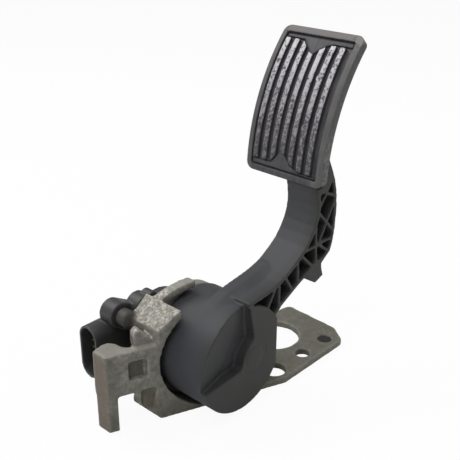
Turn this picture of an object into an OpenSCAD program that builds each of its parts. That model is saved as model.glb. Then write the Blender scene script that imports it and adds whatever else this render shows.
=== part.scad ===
// Accelerator pedal with a cast bracket, a ribbed plastic arm and a contactless angle sensor.
// X runs along the pivot shaft toward the plain end of the drum, +Y is the way the pad is pushed.
// The origin lies on the mounting plane, straight below the pivot axis and the middle of the cup.

/* [Hub] */
// Height of the pivot axis over the mounting plane
hub_h = 38; // [37:0.5:42]
// Radius of the plastic drum
drum_r = 34.5; // [32:0.5:35]
// Distance from the origin to the drum's end face
drum_end = 16.2; // [14:0.1:20]
// Depth of the sunken quarter of the drum's end face
scoop_d = 7.5; // [5:0.5:8]
// Gap between the drum and the cup round it
drum_gap = 3.8; // [3:0.1:5]
// Wall of the drum
drum_wall = 3.2; // [2.5:0.1:4]
// Thickness of the drum's end disc
end_disc_t = 10.5; // [9.5:0.5:12]
// Radius of the pivot shaft
shaft_r = 7; // [6:0.25:8]
// Wall of the two bearing bushes
bush_wall = 2; // [1.5:0.25:2.5]
// Length of each bearing bush
bush_len = 14; // [10:1:16]
// Wall of the bracket's bearing tube
tube_wall = 4; // [3:0.5:5]

/* [Bracket] */
// Angle between the bracket's front face and a plane across the shaft
face_skew = 21.7; // [20:0.1:23]
// Wall of the cup
cup_wall = 5; // [4:0.5:6]
// Distance from the bracket's face on the pivot axis back to the cup's rear face
cup_back = 37; // [36:0.5:40]
// Thickness of the cup's rear wall
cup_floor = 5; // [4:0.5:6]
// Depth of the cup's wall plate, from its front at the drum's rear edge
plate_wall_t = 4; // [3:0.5:5]
// Distance from the bracket's face back to the front of the cup's upper lip
lip_front = 16.4; // [15:0.2:18]
// Width of the cup's upper lip
lip_w = 6.9; // [6:0.1:8]
// Distance back to the rear of the sloped block beside the cup
block_back = 41; // [38:0.5:42]
// Thickness of the base plate
plate_t = 5; // [4:0.5:7]
// Right edge of the base plate
plate_right = 16.5; // [15:0.5:20]
// Left edge of the base plate
plate_left = -42; // [-48:0.5:-41]
// Rear edge of the base plate
plate_rear = 114.5; // [112:0.5:120]
// Front end of the base plate
plate_front = -39.8; // [-41:0.2:-39]
// Radius of the two bolt holes
bolt_hole_r = 4.75; // [4:0.25:5.5]
// Radius of the large lightening hole
window_r = 18; // [14:0.5:19]
// Radius of the locating hole beside the drum
dowel_hole_r = 7.3; // [6:0.1:8]
// Height of the side arm's top
arm_top = 53.5; // [50:0.5:56]
// Height of the side arm's underside
arm_under = 24; // [20:0.5:28]
// How far the leg stands off to the side
leg_out = 70; // [68:0.5:74]

/* [Pedal arm] */
// Width of the moulded arm along the shaft
arm_w = 25; // [22:0.5:28]
// Thickness of the arm's outer walls
skin_t = 2.4; // [1.8:0.1:3]
// Thickness of the lattice ribs
rib_t = 1.9; // [1.4:0.1:2.4]
// Thickness of the web that closes the lattice pockets
web_t = 3; // [2:0.2:4]

/* [Pad] */
// Width of the pad
pad_w = 60; // [54:0.5:62]
// Middle of the pad along the shaft
pad_x = -11; // [-14:0.1:-10]
// Radius of the pad's curved tread
tread_r = 130; // [128:1:134]
// Depth of the pad's side walls
pad_depth = 6; // [6:0.5:11]
// Thickness of the pad's floor
floor_t = 2.4; // [2:0.2:3]
// Depth of the grooves between the tread ribs
groove_d = 2.6; // [1.5:0.1:2.9]
// Spacing of the tread ribs
rib_pitch = 7; // [6.6:0.1:7.2]
// Width of a tread rib
tread_rib_w = 3.6; // [3:0.1:4.4]

/* [Return springs] */
// Mean radius of the outer return spring
outer_spring_r = 26; // [25:0.5:27]
// Wire radius of the outer return spring
outer_wire_r = 1.5; // [1:0.1:1.8]
// Mean radius of the inner return spring
inner_spring_r = 18.5; // [17.5:0.5:19.5]
// Wire radius of the inner return spring
inner_wire_r = 1.3; // [0.8:0.1:1.6]
// Turns of each return spring
spring_turns = 4; // [3:1:5]

/* [Sensor] */
// Radius of the sensor housing
sensor_r = 20.5; // [20:0.5:22]
// Depth of the sensor housing
sensor_depth = 25; // [24.5:0.5:27]
// Wall of the sensor housing
sensor_wall = 2.2; // [1.8:0.1:3]
// Width of the connector shroud
socket_w = 16; // [14:0.5:18]
// Height of the connector shroud
socket_h = 36; // [34:0.5:36.5]
// Distance from the shaft to the mouth of the connector shroud
socket_out = 60; // [56:0.5:64]
// Number of connector pins
pin_count = 6; // [4:2:6]

/* [Hidden] */

$fn = 96;
eps = 0.05;
// Clearance of a running fit and of a soft or curved seat
run_fit = 0.04;
seat_gap = 0.3;
far = 300;

cup_r = drum_r + drum_gap;
cup_outer_r = cup_r + cup_wall;
bush_r = shaft_r + bush_wall;
tube_r = bush_r + tube_wall;
disc_in = drum_end - end_disc_t;
wall_front = 26;
wall_back = wall_front + plate_wall_t;
pot_r = outer_spring_r + outer_wire_r + 1;
pot_floor = -wall_back + 3;
drum_back = pot_floor + seat_gap;
tube_end = disc_in - 6.5;
arm_left = drum_end - 0.2 - arm_w;
arm_right = drum_end - 0.2;
pad_left = pad_x - pad_w / 2;
pad_right = pad_x + pad_w / 2;
sensor_back = -cup_back - sensor_depth;
shaft_right = drum_end - scoop_d - 1.2;

// Centre of the tread's curve, and the angles of the pad's two ends round it
tread_y = 194.5;
tread_z = 124.6;
pad_top_a = 135.3;
pad_low_a = 178;

// Rib centres of the lattice and the walls of the arm, as points (y, z) on the arm's side
front_wall = [[65.5, 131], [67.3, 124], [68, 116], [67.2, 110], [65, 104], [61.3, 98], [56.8, 92.6],
    [51.5, 88.6], [44.5, 84.2], [38, 80.7], [31, 78], [24, 76.4], [14, 75.4], [4, 74.6]];
rear_wall = [[75.5, 147.5], [79.5, 139.5], [83.5, 131], [86, 122], [87, 112], [86.7, 101], [86, 94],
    [84.6, 87], [82.4, 81.4], [77.5, 78.2], [72.5, 76.8], [66, 76], [57.8, 72], [50.3, 68.8],
    [42.3, 64.8], [34.6, 60.8], [29.5, 56.5]];
lattice_ribs = [
    [[68.5, 114.5], [75.8, 123.3]], [[75.8, 123.3], [85.6, 119]],
    [[85.6, 117.6], [77.5, 103.8]], [[77.5, 103.8], [70.2, 91]],
    [[67.6, 113.4], [77.5, 103.2]], [[77.5, 103.2], [86, 93.6]],
    [[70.2, 91], [85.6, 90]], [[70.2, 90], [82.4, 80.8]], [[70.2, 90.2], [53.5, 89.6]],
    [[66.4, 107.5], [68.3, 77]], [[52.4, 89], [64.6, 76.8]], [[49.6, 86.6], [50.3, 70]],
    [[37, 80.2], [45.9, 66.2]], [[32, 77.6], [32.4, 60]], [[29.6, 77], [21.8, 64.4]]];
stub = [[57.8, 71.6], [62.7, 67.1], [68.3, 63.5], [76.2, 66.4], [74.5, 71.2], [73.9, 75.5],
    [78.4, 79], [70, 78.4], [65.4, 77.6]];

// Distance from the bracket's face, measured on the pivot axis, to the origin
datum_x = 20;
boss_at = [9.1, hub_h - 2];
hub_boss = 5;
lip_end = 4;
recess_d = 3;
gusset_t = 5.5;
drum_flat = 30.7;
carrier_t = 4;
side_wall = 2.6;
rim_left = 3.4;
rim_right = 4.8;
pad_corner = 5;
rib_mid = pad_x - 2.4;
notch_w = 8.4;
notch_h = 9.2;
screw_r = 2.2;
screw_head_r = 4;
screw_x = arm_left + 8;
screw_angles = [149, 163];
socket_x = -56;
socket_z = hub_h + 2;
shaft_left = socket_x + 6;
socket_wall = 1.5;
ear_at = 48;
ear_r = 8;
ear_t = 11;
ear_front = 46;
screw_bite = 5;
boss_len = [8, ear_front - wall_back + 1];
ear_angles = [150, -30];
post_at = 15.2;
cover_t = 2.5;
board_t = 1.6;
board_x = socket_x - 0.9 - 0.1 - board_t;
seal_r = sensor_r - 4;
pin_r = 0.9;
pin_pitch = 4.8;
bolt_far = [6, 96.5];
bolt_near = [6.4, 70.9];
window_at = [-22.9, 75.1];
dowel_at = [5, 42.9];

// Turns a child drawn in the (y, z) plane, thickened along x from x0 to x1
module side(x0, x1)
{
    translate([x0, 0, 0]) rotate([90, 0, 90]) linear_extrude(x1 - x0) children();
}

// Moves the whole object so that the origin lies under the middle of the cup
module at_datum()
{
    translate([datum_x, 0, 0]) children();
}

// A cylinder along the pivot axis from x0 to x1
module spindle(r, x0, x1)
{
    translate([x0, 0, hub_h]) rotate([0, 90, 0]) cylinder(r = r, h = x1 - x0);
}

// A ring along the pivot axis
module sleeve(r_out, r_in, x0, x1)
{
    difference()
    {
        spindle(r_out, x0, x1);
        spindle(r_in, x0 - 1, x1 + 1);
    }
}

// A half space in front of the bracket's skewed face, moved back by d
module before_face(d = 0)
{
    rotate([0, 0, -face_skew]) translate([-d, -far, -far]) cube([far, 2 * far, 2 * far]);
}

// A place on the bracket's front face: d behind it, u along it and z up
module on_face(d, u, z)
{
    rotate([0, 0, -face_skew]) translate([-d, u, z]) children();
}

// A straight bar of width t, which runs past both of its points by half its width
module bar(a, b, t)
{
    dir = b - a;
    translate(a) rotate(atan2(dir[1], dir[0])) translate([-t / 2, -t / 2]) square([norm(dir) + t, t]);
}

function unit(v) = v / norm(v);
function across(v) = unit([-v[1], v[0]]);

// A row of points moved sideways by t, with its corners mitred
function moved_aside(p, t) = [for (i = [0 : len(p) - 1])
    let (before = across(i > 0 ? p[i] - p[i - 1] : p[1] - p[0]))
    let (after = across(i < len(p) - 1 ? p[i + 1] - p[i] : p[i] - p[i - 1]))
    let (mitre = unit(before + after))
    p[i] + mitre * t / (mitre * before)];

// A wall of thickness t on one side of a row of points
module wall(points, t)
{
    inner = moved_aside(points, t);
    polygon(concat(points, [for (i = [len(inner) - 1 : -1 : 0]) inner[i]]));
}

module arm_outline()
{
    rear = [for (i = [len(rear_wall) - 1 : -1 : 0]) rear_wall[i]];
    polygon(concat(front_wall, [[0, hub_h], [30, hub_h + 4]], rear));
}

// The curved shell of the pad between two radii, from angle a0 to a1 and x0 to x1
module tread_shell(r0, r1, a0, a1, x0, x1)
{
    translate([x0, tread_y, tread_z]) rotate([90, 0, 90]) rotate([0, 0, a0])
        linear_extrude(x1 - x0) intersection()
        {
            difference()
            {
                circle(r = r1, $fn = 360);
                circle(r = r0, $fn = 360);
            }
            polygon([[0, 0], [far, 0], [far, far * tan((a1 - a0) / 2)],
                far * [cos(a1 - a0), sin(a1 - a0)]]);
        }
}

// Places a child on the pad's tread, at x and at angle a round its curve, with +Z pointing out
module on_tread(x, a, r = tread_r)
{
    translate([x, tread_y, tread_z]) rotate([a, 0, 0]) translate([0, r, 0]) rotate([-90, 0, 0]) children();
}

// The cup's upper lip, which follows the bracket's skewed face and ends short of the drum's top
module cup_lip()
{
    intersection()
    {
        translate([-far, -far, hub_h]) cube([2 * far, far - lip_end, far]);
        union()
        {
            spindle(cup_r, -wall_back, pot_floor + eps);
            difference()
            {
                intersection()
                {
                    spindle(cup_outer_r, -cup_back, 0);
                    before_face(lip_front + lip_w);
                }
                before_face(lip_front);
            }
        }
    }
}

module bracket_body()
{
    difference()
    {
        union()
        {
            cup_lip();
            spindle(pot_r + cup_wall, -cup_back, -wall_back + 1);
            side(-wall_back, -wall_front) polygon([[plate_front, 0], [plate_front, hub_h],
                [cup_outer_r, hub_h], [cup_outer_r, 0]]);
            side(-block_back, 25) polygon([[plate_front, 0], [plate_front, 62.2], [-25.4, 73.3],
                [-25.4, hub_h], [-8, 0]]);
        }
        before_face();
        translate([-far, -far, -far]) cube([2 * far, 2 * far, far]);
    }
}

module base_plate()
{
    difference()
    {
        linear_extrude(plate_t) hull()
        {
            translate([plate_left, plate_front]) square(1);
            translate([plate_left + 5, plate_rear - 4]) circle(4, $fn = 48);
            translate([plate_left + 4, plate_rear - 8]) circle(4, $fn = 48);
            translate([2, plate_rear - 5]) circle(3, $fn = 48);
            translate([plate_right - 5, plate_rear - 14]) circle(5, $fn = 48);
            translate([plate_right - 1, plate_front]) square(1);
        }
        before_face();
        translate([bolt_far[0], bolt_far[1], -1]) cylinder(r = bolt_hole_r, h = far);
        translate([bolt_far[0], bolt_far[1], plate_t - 0.6]) cylinder(r = bolt_hole_r + 3, h = far);
        translate([bolt_near[0], bolt_near[1], -1]) cylinder(r = bolt_hole_r, h = far);
        translate([window_at[0], window_at[1], -1]) cylinder(r = window_r, h = far);
        translate([dowel_at[0], dowel_at[1], -1]) cylinder(r = dowel_hole_r, h = far);
    }
}

module side_arm()
{
    difference()
    {
        union()
        {
            translate([0, 0, arm_under]) linear_extrude(arm_top - arm_under) polygon([[-27.9, -leg_out],
                [-15, -38], [-30, -38], [-29, -45], [-25.5, -50.5], [-29.8, -54.2], [-36.7, -55.2],
                [-40.2, -57.5], [-41, -62], [-39.5, -leg_out]]);
            linear_extrude(arm_top) polygon([[-28, -leg_out], [-25.1, -63.4], [-36.4, -63.4],
                [-38.8, -leg_out]]);
            on_face(gusset_t, 0, 0) rotate([90, 0, 90]) linear_extrude(gusset_t + 2)
                polygon([[-58, arm_under + 1], [-57.6, 17.6], [-55.6, 14], [-43.5, 1.3], [-40, 0],
                    [-40, arm_under + 1]]);
            on_face(10, -60, 0) translate([0, 0, arm_top - 1]) rotate([90, 0, 90]) linear_extrude(7)
                polygon([[3.5, 0], [3.2, 9.5], [6.4, 12.4], [18.5, 0]]);
        }
        before_face();
        on_face(recess_d, -61, 33.5) cube([20, 11.1, 12.3]);
        on_face(recess_d, 0, 0) rotate([90, 0, 90]) linear_extrude(20) polygon([[-54, 24.6], [-44.5, 24.6],
            [-47.4, 10.2], [-54, 10.2]]);
    }
}

module bracket()
{
    at_datum() color([0.50, 0.49, 0.45]) difference()
    {
        union()
        {
            difference()
            {
                union()
                {
                    bracket_body();
                    base_plate();
                    side_arm();
                    for (i = [0, 1]) at_ear(ear_angles[i], -ear_front) cylinder(r = 5.5, h = boss_len[i]);
                }
                intersection()
                {
                    spindle(cup_r, pot_floor, 60);
                    translate([-far, -far, hub_h - drum_r - 1]) cube(2 * far);
                }
                spindle(pot_r, -cup_back + cup_floor, 0);
            }
            spindle(tube_r, -cup_back, tube_end);
        }
        spindle(bush_r, -cup_back - 1, far);
        for (a = ear_angles) at_ear(a, -ear_front - 1) cylinder(r = 2, h = screw_bite + 1.5);
        spindle(sensor_r + seat_gap, -far, -cup_back);
    }
}

module hole_plug()
{
    at_datum() color([0.2, 0.2, 0.21]) translate([bolt_far[0], bolt_far[1], 0.5])
        cylinder(r = bolt_hole_r - run_fit, h = plate_t - 2.3);
}

// The outline of the sunken quarter of the drum's end face, as seen along the shaft
module scoop_outline()
{
    rim = drum_r + 2;
    polygon([[1.5, hub_h + rim], [5.5, 70.5], [7.2, 61], [9.2, 52], [8.6, 48], [4.2, 44.3], [1.6, 41],
        [0, 37.4], [-1, 33.2], [-3.4, 31], [-9.5, 30.5], [-27.2, 29.5], [-rim, 28.6], [-rim, hub_h + rim]]);
}

// The sunken quarter itself, which falls from the rim toward the shaft
module end_scoop()
{
    intersection()
    {
        side(drum_end - scoop_d, drum_end + 1) scoop_outline();
        translate([drum_end - 1, 0, hub_h]) rotate([-37, 0, 0]) translate([0, -drum_r, 0])
            rotate([0, 0, 13]) translate([0, -far, -far / 2]) cube([far, 2 * far, far]);
    }
}

module drum()
{
    difference()
    {
        spindle(drum_r, drum_back, drum_end);
        translate([disc_in + 0.3, drum_flat, 0]) cube(far);
        end_scoop();
        translate([drum_end, boss_at[0], boss_at[1]]) rotate([0, 90, 0]) difference()
        {
            translate([0, 0, -0.5]) cylinder(r = 11.4, h = 2);
            translate([0, 0, -1]) cylinder(r = 10.4, h = 3);
        }
    }
    translate([drum_end, boss_at[0], boss_at[1]]) rotate([0, 90, 0]) translate([0, 0, -1])
        cylinder(r = 6.6, h = 1.6);
}

// The space behind the pad's floor, inside its side walls
module pad_hollow(gap = 0)
{
    edge = 1.3 + gap / 2;
    tread_shell(tread_r - pad_depth - 12, tread_r - groove_d - floor_t - min(gap, eps),
        pad_top_a + edge, pad_low_a - edge, pad_left + side_wall + gap, pad_right - side_wall - gap);
}

// The arm's walls, ribs and web between its two flanks
module arm_lattice()
{
    intersection()
    {
        side(arm_left, arm_right) arm_outline();
        union()
        {
            side(arm_left, arm_right) wall(front_wall, skin_t);
            side(arm_left, arm_right) wall(rear_wall, -skin_t);
            side(arm_left, arm_right) for (rib = lattice_ribs) bar(rib[0], rib[1], rib_t);
            side((arm_left + arm_right - web_t) / 2, (arm_left + arm_right + web_t) / 2) arm_outline();
        }
    }
    side(arm_left + 2, arm_right) polygon(stub);
    side(arm_left, arm_right) polygon([[65.5, 131], [67.3, 124], [77, 124], [82, 132], [75.5, 147.5]]);
}

module pedal_arm()
{
    at_datum() color([0.27, 0.27, 0.28]) difference()
    {
        union()
        {
            drum();
            arm_lattice();
            tread_shell(tread_r - pad_depth - 4, tread_r - groove_d - floor_t, pad_low_a - 34, pad_low_a - 2,
                arm_left + 2, arm_right - 5);
        }
        spindle(shaft_r, drum_back, shaft_right);
        difference()
        {
            spindle(drum_r - drum_wall, drum_back - 1, disc_in);
            spindle(tube_r, disc_in - hub_boss, disc_in + 1);
        }
        difference()
        {
            tread_shell(tread_r - pad_depth, tread_r + 9, pad_top_a, pad_low_a + 0.2,
                pad_left - 1, pad_right + 1);
            pad_hollow(seat_gap);
        }
        for (a = screw_angles) on_tread(screw_x, a) translate([0, 0, -pad_depth - 9])
        {
            cylinder(r = screw_r, h = 20);
            cylinder(r = screw_head_r + seat_gap, h = 6.5);
        }
    }
}

module pedal_pad()
{
    at_datum() color([0.32, 0.31, 0.33]) difference()
    {
        union()
        {
            difference()
            {
                tread_shell(tread_r - pad_depth, tread_r, pad_top_a, pad_low_a, pad_left, pad_right);
                pad_hollow();
                tread_shell(tread_r - groove_d, tread_r + 1, pad_top_a + 2, pad_low_a - 1.7,
                    pad_left + rim_left, pad_right - rim_right);
            }
            tread_ribs();
            for (a = screw_angles) on_tread(screw_x, a) translate([0, 0, -groove_d - floor_t])
                cylinder(r = screw_r + 2, h = floor_t + groove_d - 0.5);
        }
        for (a = screw_angles) on_tread(screw_x, a) translate([0, 0, -pad_depth])
            cylinder(r = screw_r, h = pad_depth - 1.6);
        corner_cuts();
    }
}

// What rounds off the pad's four corners
module corner_cuts()
{
    inset = pad_corner / tread_r * 180 / PI;
    for (end = [0, 1]) for (low = [0, 1])
        on_tread(end ? pad_right - pad_corner : pad_left + pad_corner,
            low ? pad_low_a - inset : pad_top_a + inset)
            mirror([1 - end, 0, 0]) mirror([0, low, 0]) translate([0, 0, -pad_depth - 8])
                linear_extrude(pad_depth + 16) difference()
                {
                    square(pad_corner + 4);
                    circle(pad_corner);
                }
}

// The seven ribs of the tread, cut away by a notch at each end
module tread_ribs()
{
    difference()
    {
        for (i = [-3 : 3])
            tread_shell(tread_r - groove_d - 0.5, tread_r - 0.3, pad_top_a + 3.8, pad_low_a - 3.6,
                rib_mid + i * rib_pitch - tread_rib_w / 2, rib_mid + i * rib_pitch + tread_rib_w / 2);
        on_tread(rib_mid - 1, pad_top_a + 3.7) notch_cut(-1);
        on_tread(rib_mid - 1, pad_low_a - 3.6) notch_cut(1);
    }
    on_tread(rib_mid - 1, pad_top_a + 3.7) notch_rim(-1);
    on_tread(rib_mid - 1, pad_low_a - 3.6) notch_rim(1);
}

// A V notch in the tread's ribs: way is the side on which its tip lies
module notch_cut(way)
{
    translate([0, 0, -groove_d]) linear_extrude(groove_d + 4)
        polygon([[-notch_w, -way * 6], [-notch_w, 0], [0, way * notch_h], [notch_w, 0], [notch_w, -way * 6]]);
}

module notch_rim(way)
{
    translate([0, 0, -groove_d - 0.8]) linear_extrude(groove_d + 0.4)
        for (end = [-1, 1]) bar([end * notch_w, 0], [0, way * notch_h], 1.6);
}

module pad_screws()
{
    at_datum() color([0.6, 0.6, 0.62]) for (a = screw_angles)
        on_tread(screw_x, a) translate([0, 0, -pad_depth - 4 + 1.5])
        {
            cylinder(r = screw_r - run_fit, h = pad_depth + 0.8);
            translate([0, 0, -3]) cylinder(r = screw_head_r, h = 3);
        }
}

module pivot_shaft()
{
    at_datum() color([0.7, 0.7, 0.72]) spindle(shaft_r - run_fit, shaft_left, shaft_right);
}

module inner_bush()
{
    at_datum() color([0.62, 0.5, 0.3])
        sleeve(bush_r - run_fit / 2, shaft_r, -cup_back, -cup_back + bush_len);
}

module outer_bush()
{
    at_datum() color([0.62, 0.5, 0.3])
        sleeve(bush_r - run_fit / 2, shaft_r, tube_end - bush_len, tube_end);
}

module thrust_washer()
{
    at_datum() color([0.75, 0.74, 0.7])
        sleeve(tube_r - 0.5, shaft_r + 0.1, tube_end + 0.2, disc_in - hub_boss);
}

module retaining_clip()
{
    at_datum() color([0.5, 0.5, 0.52]) difference()
    {
        sleeve(shaft_r + 3, shaft_r, -cup_back - 1.5, -cup_back - seat_gap);
        translate([-cup_back - 3, -1.5, hub_h]) cube([5, 3, 20]);
    }
}

// A coil of round wire about the pivot axis
module coil(r, wire, x0, x1, turns)
{
    sides = 8;
    steps = 24 * turns;
    at = function (i, j) let (a = 360 * turns * i / steps, b = 360 * j / sides, rr = r + wire * cos(b))
        [x0 + wire + (x1 - x0 - 2 * wire) * i / steps + wire * sin(b), rr * cos(a), hub_h + rr * sin(a)];
    rings = [for (i = [0 : steps]) for (j = [0 : sides - 1]) at(i, j)];
    skin = [for (i = [0 : steps - 1]) for (j = [0 : sides - 1])
        [i * sides + j, i * sides + (j + 1) % sides, (i + 1) * sides + (j + 1) % sides, (i + 1) * sides + j]];
    first = [[for (j = [sides - 1 : -1 : 0]) j]];
    last = [[for (j = [0 : sides - 1]) steps * sides + j]];
    polyhedron(concat(rings), concat(skin, first, last));
}

module outer_return_spring()
{
    at_datum() color([0.45, 0.46, 0.48])
        coil(outer_spring_r, outer_wire_r, cup_floor - cup_back, disc_in - carrier_t - 0.1, spring_turns);
}

module inner_return_spring()
{
    at_datum() color([0.45, 0.46, 0.48])
        coil(inner_spring_r, inner_wire_r, cup_floor - cup_back, disc_in - carrier_t - 0.1, spring_turns);
}

module spring_carrier()
{
    at_datum() color([0.85, 0.84, 0.8])
        sleeve(drum_r - drum_wall - 0.1, tube_r + 0.1, disc_in - carrier_t, disc_in);
}

module friction_ring()
{
    at_datum() color([0.35, 0.3, 0.22])
        sleeve(drum_r - drum_wall - seat_gap, drum_r - drum_wall - 2.6, pot_floor, pot_floor + 12);
}

// The stadium outline of the connector, of width w and height h, run along Y
module socket_block(w, h, y0, y1)
{
    translate([socket_x, y1, socket_z]) rotate([90, 0, 0]) linear_extrude(y1 - y0) intersection()
    {
        square([w, h], center = true);
        union()
        {
            square([w, h - w], center = true);
            for (end = [-1, 1]) translate([0, end * (h - w) / 2]) circle(d = w, $fn = 48);
        }
    }
}

module ear(a)
{
    translate([-ear_front - ear_t, 0, hub_h]) rotate([a, 0, 0]) rotate([90, 0, 90]) linear_extrude(ear_t)
    {
        translate([ear_at, 0]) circle(ear_r);
        translate([sensor_r - 4, -ear_r]) square([ear_at - sensor_r + 4, 2 * ear_r]);
    }
}

module at_ear(a, x)
{
    translate([x, 0, hub_h]) rotate([a, 0, 0]) translate([0, ear_at, 0]) rotate([0, 90, 0]) children();
}

// The humps beside the upper ear and the plate that joins them to the housing
module sensor_flange()
{
    side(-ear_front - 5, -ear_front - 1) polygon([[-42, 58], [-25, 66], [-17, 66], [-12, 57], [-16, 44]]);
    side(-ear_front - 6, -ear_front + 4) translate([-25.2, 61.2]) circle(8.8);
    side(-ear_front - 2, -ear_front + 6) translate([-20.8, 68.2]) circle(3.8);
}

module sensor_housing()
{
    at_datum() color([0.17, 0.17, 0.18]) difference()
    {
        union()
        {
            spindle(sensor_r, sensor_back + cover_t, -cup_back);
            for (a = ear_angles) ear(a);
            sensor_flange();
            socket_block(socket_w, socket_h, -socket_out, -sensor_r + 4);
        }
        difference()
        {
            spindle(sensor_r - sensor_wall, sensor_back, -cup_back - sensor_wall);
            for (a = [0, 120, 240]) at_post(a, -cup_back - sensor_wall - 1, 2.2, board_x + board_t);
        }
        spindle(shaft_r + 5, sensor_back, 0);
        sleeve(seal_r + 1, seal_r - 1, -cup_back - 1.5, 0);
        socket_block(socket_w - 2 * socket_wall, socket_h - 2 * socket_wall,
            -socket_out - 1, -socket_out + 15);
        for (a = ear_angles) at_ear(a, -ear_front - ear_t - 1) cylinder(r = 2.3, h = far);
        spindle(sensor_r + seat_gap, sensor_back - 4, sensor_back + cover_t);
        for (i = [0 : pin_count - 1]) pin(i, pin_r + run_fit, 0.5);
    }
}

module at_post(a, x1, r, x0)
{
    translate([x0, 0, hub_h]) rotate([a, 0, 0]) translate([0, post_at, 0]) rotate([0, 90, 0])
        cylinder(r = r, h = x1 + 2 - x0);
}

// Connector pin number i, from inside the housing to the socket
module pin(i, r, more = 0)
{
    translate([socket_x, -socket_out + 4 - more, socket_z + (i - (pin_count - 1) / 2) * pin_pitch])
        rotate([-90, 0, 0]) cylinder(r = r, h = socket_out - 4 - sensor_r + 7 + 2 * more, $fn = 24);
}

module sensor_cover()
{
    at_datum() color([0.19, 0.19, 0.2])
    {
        spindle(sensor_r, sensor_back + 1.2, sensor_back + cover_t);
        spindle(sensor_r - 2, sensor_back, sensor_back + 1.2);
        sleeve(sensor_r - sensor_wall - seat_gap, sensor_r - sensor_wall - 2,
            sensor_back + cover_t - eps, board_x);
    }
}

module sensor_seal()
{
    at_datum() color([0.12, 0.12, 0.12]) sleeve(seal_r + 0.9, seal_r - 0.9, -cup_back - 1.5, -cup_back);
}

module sensor_rotor()
{
    at_datum() color([0.8, 0.8, 0.76]) difference()
    {
        spindle(shaft_r + 2.2, shaft_left - 4, shaft_left + 2.6);
        spindle(shaft_r, shaft_left, 0);
    }
}

module rotor_magnets()
{
    at_datum() color([0.3, 0.3, 0.32]) sleeve(shaft_r + 1, shaft_r - 2.5, shaft_left - 5.2, shaft_left - 4);
}

module sensor_circuit_board()
{
    at_datum() color([0.1, 0.35, 0.2]) spindle(sensor_r - sensor_wall - 0.5, board_x, board_x + board_t);
}

module angle_chips()
{
    at_datum() color([0.08, 0.08, 0.08]) for (side_y = [-1, 1])
        translate([board_x + board_t, side_y * 6 - 2.5, hub_h - 2]) cube([0.7, 5, 4]);
}

module connector_pins()
{
    at_datum() color([0.8, 0.7, 0.4]) for (i = [0 : pin_count - 1]) pin(i, pin_r);
}

module sensor_screws()
{
    at_datum() color([0.65, 0.65, 0.67]) for (a = ear_angles)
    {
        at_ear(a, -ear_front - ear_t - 3) cylinder(r = 4, h = 3);
        at_ear(a, -ear_front - ear_t - eps) cylinder(r = 2 - run_fit, h = ear_t + screw_bite);
    }
}

bracket();
hole_plug();
pedal_arm();
pedal_pad();
pad_screws();
pivot_shaft();
inner_bush();
outer_bush();
thrust_washer();
retaining_clip();
outer_return_spring();
inner_return_spring();
spring_carrier();
friction_ring();
sensor_housing();
sensor_cover();
sensor_seal();
sensor_rotor();
rotor_magnets();
sensor_circuit_board();
angle_chips();
connector_pins();
sensor_screws();
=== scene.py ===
# An accelerator pedal: a weathered casting, a ribbed plastic arm and a worn tread pad on their CAD frame.
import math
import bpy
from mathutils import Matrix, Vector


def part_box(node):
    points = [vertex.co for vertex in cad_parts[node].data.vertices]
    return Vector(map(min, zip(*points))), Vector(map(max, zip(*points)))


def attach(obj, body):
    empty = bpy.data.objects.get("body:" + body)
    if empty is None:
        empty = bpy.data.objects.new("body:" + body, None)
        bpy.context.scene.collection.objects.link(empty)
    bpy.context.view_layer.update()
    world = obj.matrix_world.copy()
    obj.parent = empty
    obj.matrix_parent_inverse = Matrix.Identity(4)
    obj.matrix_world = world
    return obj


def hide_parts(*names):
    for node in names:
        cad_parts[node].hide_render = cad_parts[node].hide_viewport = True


bl_info = {
    "name": "Accelerator Pedal",
    "version": (1, 0, 0),
    "blender": (4, 5, 0),
    "location": "3D View > Sidebar > Pedal",
    "description": "Models and finishes an accelerator pedal around its CAD frame",
    "category": "Object",
}

import bmesh
import bpy
from mathutils import Matrix, Vector

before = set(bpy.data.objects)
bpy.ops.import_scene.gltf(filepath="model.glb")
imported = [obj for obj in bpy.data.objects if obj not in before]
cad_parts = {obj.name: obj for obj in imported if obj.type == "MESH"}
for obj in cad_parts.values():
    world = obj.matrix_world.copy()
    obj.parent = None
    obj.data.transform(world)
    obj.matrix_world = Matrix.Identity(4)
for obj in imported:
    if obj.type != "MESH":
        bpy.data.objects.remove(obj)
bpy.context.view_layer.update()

MM = 0.001

# The pad's box, which its shape and finish are placed by, and the bracket's lowest corner
PAD_LOW, PAD_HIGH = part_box("pedal_pad")
BRACKET_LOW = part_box("bracket")[0]

# The pad's curve: its centre seen along the shaft, its radius, and the angles of its two ends
TREAD_CENTRE = Vector((0, 194.5, 124.6)) * MM
TREAD_RADIUS = 130 * MM
PAD_TOP_ANGLE = math.radians(135.3)
PAD_LOW_ANGLE = math.radians(178)

# Where the tread's ribs begin and end: across the pad and down from its top edge, both in mm
RIBS_BEGIN = ((-21, 8.8), (-2.5, 9.1), (7.4, 18.6), (11.4, 14.1), (16, 10.9), (19, 9.6), (39, 9.6))
RIBS_END = ((-21, 88), (-1.8, 88), (5.5, 78.2), (13, 86.9), (19.8, 90.1), (39, 90.1))

# The pad is bent in steps: how many the tray has, and how many a strip has over a reach longer than the pad
TRAY_STEPS = 48
STRIP_STEPS = 50
STRIP_REACH = 100 * MM

# How much of its normal a face of the flat pad has along Z where it looks straight out or back
STRAIGHT = 0.9

# The tread's face is larger than this, and every other face that looks out of the tray is smaller
TREAD_AREA = 1000 * MM * MM

# The fillet where the arm's front wall meets the drum, as points (y, height) in mm: its top and its underside
FILLET_TOP = ((-13, 69.8), (-8, 71.9), (-3, 73.4), (4, 75.4), (14, 77.1), (24, 78.5), (31, 79.8), (41, 82.6))
FILLET_FOOT = ((-13, 68), (-8, 70.3), (-3, 71), (4, 71), (14, 74.4), (24, 75.4), (31, 77), (41, 81))

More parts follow.
